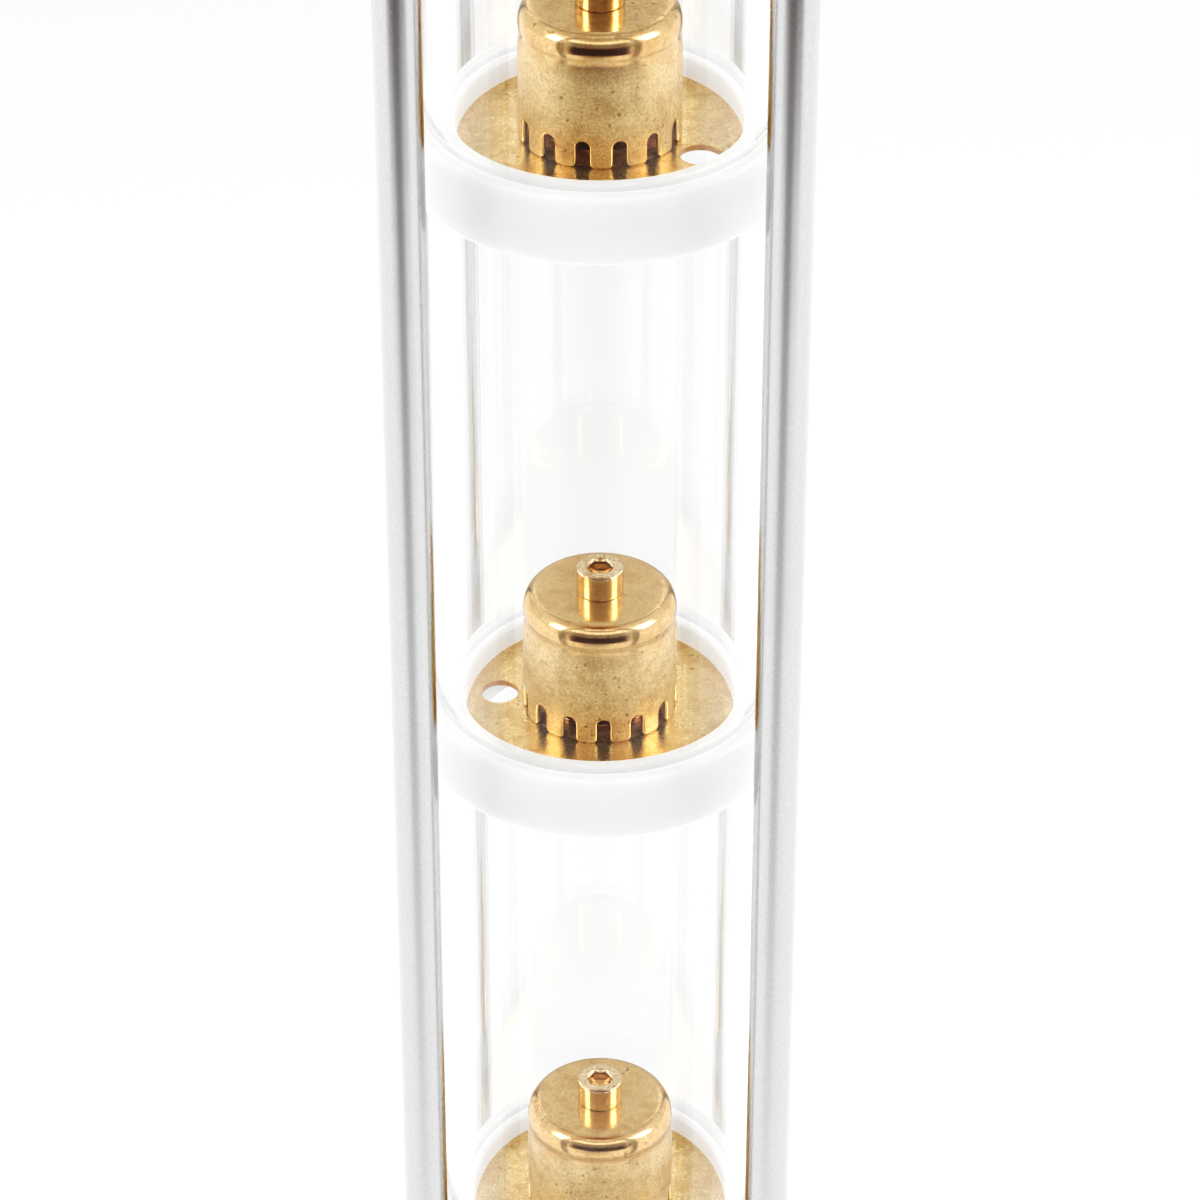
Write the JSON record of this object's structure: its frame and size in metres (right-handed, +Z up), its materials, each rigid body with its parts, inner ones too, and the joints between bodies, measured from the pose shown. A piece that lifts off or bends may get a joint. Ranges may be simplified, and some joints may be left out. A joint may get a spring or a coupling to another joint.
{
  "type": "bubble-cap distillation column",
  "caption": "Glass distillation column with brass bubble-cap plates in silicone seals, clamped by steel tie rods between flanged sanitary ferrule ends.",
  "frame": {"origin": "centre of the bottom ferrule's lower face", "axes": "+Z up the column's axis; -Y towards the front pair of tie rods"},
  "size_m": [0.11, 0.11, 0.535],
  "materials": {
    "glass": "clear borosilicate, polished",
    "silicone": "translucent white silicone, satin",
    "plate_brass": "bright rolled sheet with light stains",
    "cap_brass": "bright deep-drawn, lightly tarnished",
    "screw_brass": "turned, satin",
    "riser_brass": "turned, satin",
    "rod_steel": "ground stainless bar, satin",
    "flange_steel": "turned stainless, fine lathe lines",
    "ferrule_steel": "polished stainless",
    "fastener_steel": "stainless, satin"
  },
  "bodies": {
    "column": {"bottom_ferrule": "ferrule_steel", "bottom_flange": "flange_steel", "bottom_gasket": "silicone", "top_ferrule": "ferrule_steel", "top_flange": "flange_steel", "top_gasket": "silicone", "glass_tube_1": "glass", "glass_tube_2": "glass", "glass_tube_3": "glass", "glass_tube_4": "glass", "plate_seal_1": "silicone", "bubble_plate_1": "plate_brass", "riser_1": "riser_brass", "riser_nut_1": "riser_brass", "riser_bridge_1": "riser_brass", "plate_seal_2": "silicone", "bubble_plate_2": "plate_brass", "riser_2": "riser_brass", "riser_nut_2": "riser_brass", "riser_bridge_2": "riser_brass", "plate_seal_3": "silicone", "bubble_plate_3": "plate_brass", "riser_3": "riser_brass", "riser_nut_3": "riser_brass", "riser_bridge_3": "riser_brass", "tie_rod_front_left": "rod_steel", "tie_rod_front_right": "rod_steel", "tie_rod_rear_left": "rod_steel", "tie_rod_rear_right": "rod_steel", "bottom_washers": "fastener_steel", "bottom_nuts": "fastener_steel", "top_washers": "fastener_steel"},
    "cap_1": {"bubble_cap_1": "cap_brass"},
    "screw_1": {"cap_screw_1": "screw_brass"},
    "cap_2": {"bubble_cap_2": "cap_brass"},
    "screw_2": {"cap_screw_2": "screw_brass"},
    "cap_3": {"bubble_cap_3": "cap_brass"},
    "screw_3": {"cap_screw_3": "screw_brass"},
    "nut_front_left": {"top_nut_front_left": "fastener_steel"},
    "nut_front_right": {"top_nut_front_right": "fastener_steel"},
    "nut_rear_left": {"top_nut_rear_left": "fastener_steel"},
    "nut_rear_right": {"top_nut_rear_right": "fastener_steel"}
  },
  "joints": [
    {"name": "cap_1_lift", "type": "slide", "parent": "column", "child": "cap_1", "axis": [0, 0, 1], "range_m": [0, 0.006]},
    {"name": "screw_1_turn", "type": "hinge", "parent": "cap_1", "child": "screw_1", "pos_m": [0, 0, 0.1764], "axis": [0, 0, 1], "range_deg": [0, 2700]},
    {"name": "cap_2_lift", "type": "slide", "parent": "column", "child": "cap_2", "axis": [0, 0, 1], "range_m": [0, 0.006]},
    {"name": "screw_2_turn", "type": "hinge", "parent": "cap_2", "child": "screw_2", "pos_m": [0, 0, 0.2944], "axis": [0, 0, 1], "range_deg": [0, 2700]},
    {"name": "cap_3_lift", "type": "slide", "parent": "column", "child": "cap_3", "axis": [0, 0, 1], "range_m": [0, 0.006]},
    {"name": "screw_3_turn", "type": "hinge", "parent": "cap_3", "child": "screw_3", "pos_m": [0, 0, 0.4124], "axis": [0, 0, 1], "range_deg": [0, 2700]},
    {"name": "nut_front_left_turn", "type": "hinge", "parent": "column", "child": "nut_front_left", "pos_m": [-0.032, -0.032, 0.518], "axis": [0, 0, 1], "continuous": true},
    {"name": "nut_front_right_turn", "type": "hinge", "parent": "column", "child": "nut_front_right", "pos_m": [0.032, -0.032, 0.518], "axis": [0, 0, 1], "continuous": true},
    {"name": "nut_rear_left_turn", "type": "hinge", "parent": "column", "child": "nut_rear_left", "pos_m": [-0.032, 0.032, 0.518], "axis": [0, 0, 1], "continuous": true},
    {"name": "nut_rear_right_turn", "type": "hinge", "parent": "column", "child": "nut_rear_right", "pos_m": [0.032, 0.032, 0.518], "axis": [0, 0, 1], "continuous": true}
  ],
  "couplings": [
    {"joint": "screw_1_turn", "follows": "cap_1_lift", "rad_per_m": 7854},
    {"joint": "screw_2_turn", "follows": "cap_2_lift", "rad_per_m": 7854},
    {"joint": "screw_3_turn", "follows": "cap_3_lift", "rad_per_m": 7854}
  ]
}
